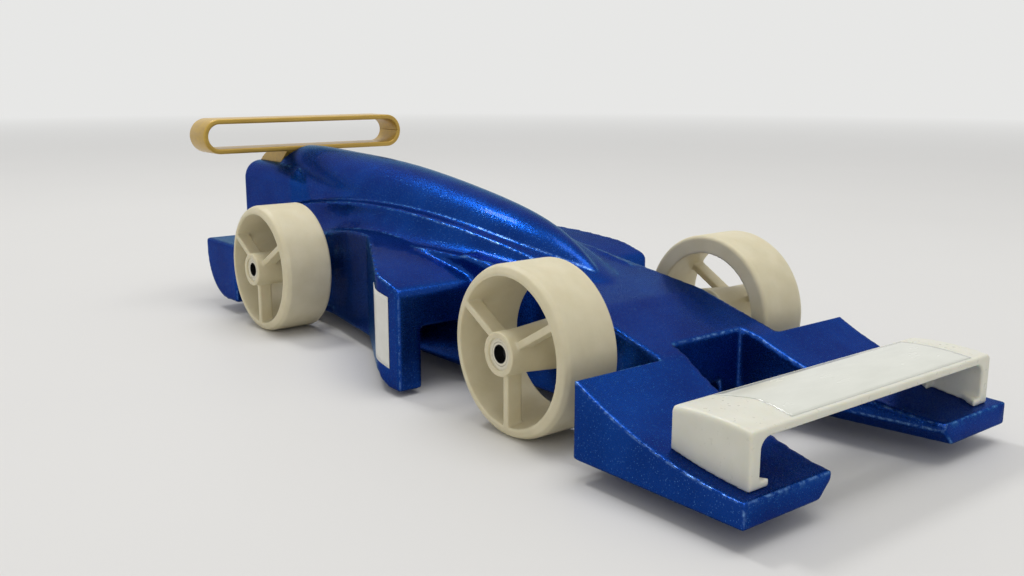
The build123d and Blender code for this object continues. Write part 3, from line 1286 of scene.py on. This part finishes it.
@dataclass(frozen=True)
class Studio:
    """The floor, the sky, the lamps and the camera."""

    floor_reach: float = 4.0
    sky: float = 0.42
    backdrop: Colour = (0.80, 0.80, 0.79)
    lamps: tuple[Lamp, ...] = (
        Lamp("key", (0.12, 0.10, 0.80), size=0.5, share=0.42),
        Lamp("window", (-0.40, -0.04, 0.68), size=0.14, share=0.24),
        Lamp("fill", (0.55, -0.55, 0.35), size=0.7, share=0.12),
    )
    eye_from_front_axle: Triple = (0.127365, -0.129713, 0.059231)
    heading: float = 2.4697
    pitch: float = -0.2068
    roll: float = 0.0014
    lens: float = 36.36

    def build(self, target: Vector) -> None:
        """Makes the floor, the sky, the lamps and the camera.

        Args:
            target: the point that the lamps light.
        """
        self.lay_floor()
        self.hang_sky()
        for lamp in self.lamps:
            lamp.build(target)
        self.place_camera()

    def lay_floor(self) -> None:
        """Lays the plain floor under the wheels."""
        mesh = bpy.data.meshes.new("floor")
        reach = self.floor_reach
        corners = [(-reach, -reach, 0), (reach, -reach, 0), (reach, reach, 0), (-reach, reach, 0)]
        mesh.from_pydata(corners, [], [(0, 1, 2, 3)])
        mesh.materials.append(FloorFinish(self.backdrop).build())
        floor = bpy.data.objects.new("floor", mesh)
        bpy.context.scene.collection.objects.link(floor)
        floor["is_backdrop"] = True

    def hang_sky(self) -> None:
        """Fills the world with soft light, and shows the camera and mirrors a plain backdrop."""
        world = bpy.data.worlds.new("soft_sky")
        world.use_nodes = True
        nodes, links = world.node_tree.nodes, world.node_tree.links
        nodes.clear()
        light = nodes.new("ShaderNodeBackground")
        light.inputs["Color"].default_value = (1, 1, 1, 1)
        light.inputs["Strength"].default_value = self.sky
        shown = nodes.new("ShaderNodeBackground")
        shown.inputs["Color"].default_value = (*self.backdrop, 1)
        mixed = nodes.new("ShaderNodeMixShader")
        links.new(looked_at(nodes, links), mixed.inputs["Fac"])
        links.new(light.outputs["Background"], mixed.inputs[1])
        links.new(shown.outputs["Background"], mixed.inputs[2])
        output = nodes.new("ShaderNodeOutputWorld")
        links.new(mixed.outputs["Shader"], output.inputs["Surface"])
        bpy.context.scene.world = world

    def place_camera(self) -> None:
        """Puts the camera where the photograph was taken from."""
        lens = bpy.data.cameras.new("camera")
        lens.lens = self.lens
        lens.clip_start = 0.005
        camera = bpy.data.objects.new("camera", lens)
        level = math.cos(self.pitch)
        ahead = Vector((level * math.cos(self.heading), level * math.sin(self.heading), math.sin(self.pitch)))
        right = ahead.cross(Vector((0, 0, 1))).normalized()
        up = right.cross(ahead)
        tilted_right = right * math.cos(self.roll) + up * math.sin(self.roll)
        tilted_up = up * math.cos(self.roll) - right * math.sin(self.roll)
        turn = Matrix((tilted_right, tilted_up, -ahead)).transposed()
        eye = Vector((middle_of("front_axle").x, 0, 0)) + Vector(self.eye_from_front_axle)
        camera.matrix_world = Matrix.Translation(eye) @ turn.to_4x4()
        bpy.context.scene.collection.objects.link(camera)
        bpy.context.scene.camera = camera


def main() -> None:
    """Builds every piece in order."""
    logging.basicConfig(level=logging.INFO, format="%(message)s")
    cad_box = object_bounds()
    middle = (cad_box[0] + cad_box[1]) / 2
    bpy.context.scene.view_settings.view_transform = "Standard"
    Bodywork().build(FlakePaint().build())
    PodLabel().build(LABEL_PAPER.build())
    resin = PrintedPlastic("white_resin", (0.77, 0.76, 0.66), (0.72, 0.71, 0.60), roughness=0.34, soak=0.5)
    FrontWing().build(resin.build())
    WingFilm().build(GLOSSY_FILM.build())
    RearWing().build(BRUSHED_GOLD.build())
    nylon = PrintedPlastic("white_nylon", (0.73, 0.66, 0.46), (0.67, 0.60, 0.40)).build()
    brass = TURNED_BRASS.build()
    steel = BENT_STEEL.build()
    black = PrintedPlastic("black_nylon", (0.02, 0.02, 0.02), (0.015, 0.015, 0.015), soak=0.0).build()
    carbon = CARBON_ROD.build()
    for axle in Axle:
        cream = BearingCream().build(axle)
        dress(f"{axle.value}_axle", carbon)
        dress(f"{axle.value}_inner_rings", cream)
        dress(f"{axle.value}_axle_spacers", black)
        dress(f"{axle.value}_tether_guide", steel)
        for side in Side:
            Wheel(axle, side).build(nylon, cream)
            dress(f"{axle.value}_{side.value}_bush", brass)
    Studio().build(middle)


if __name__ == "__main__":
    main()
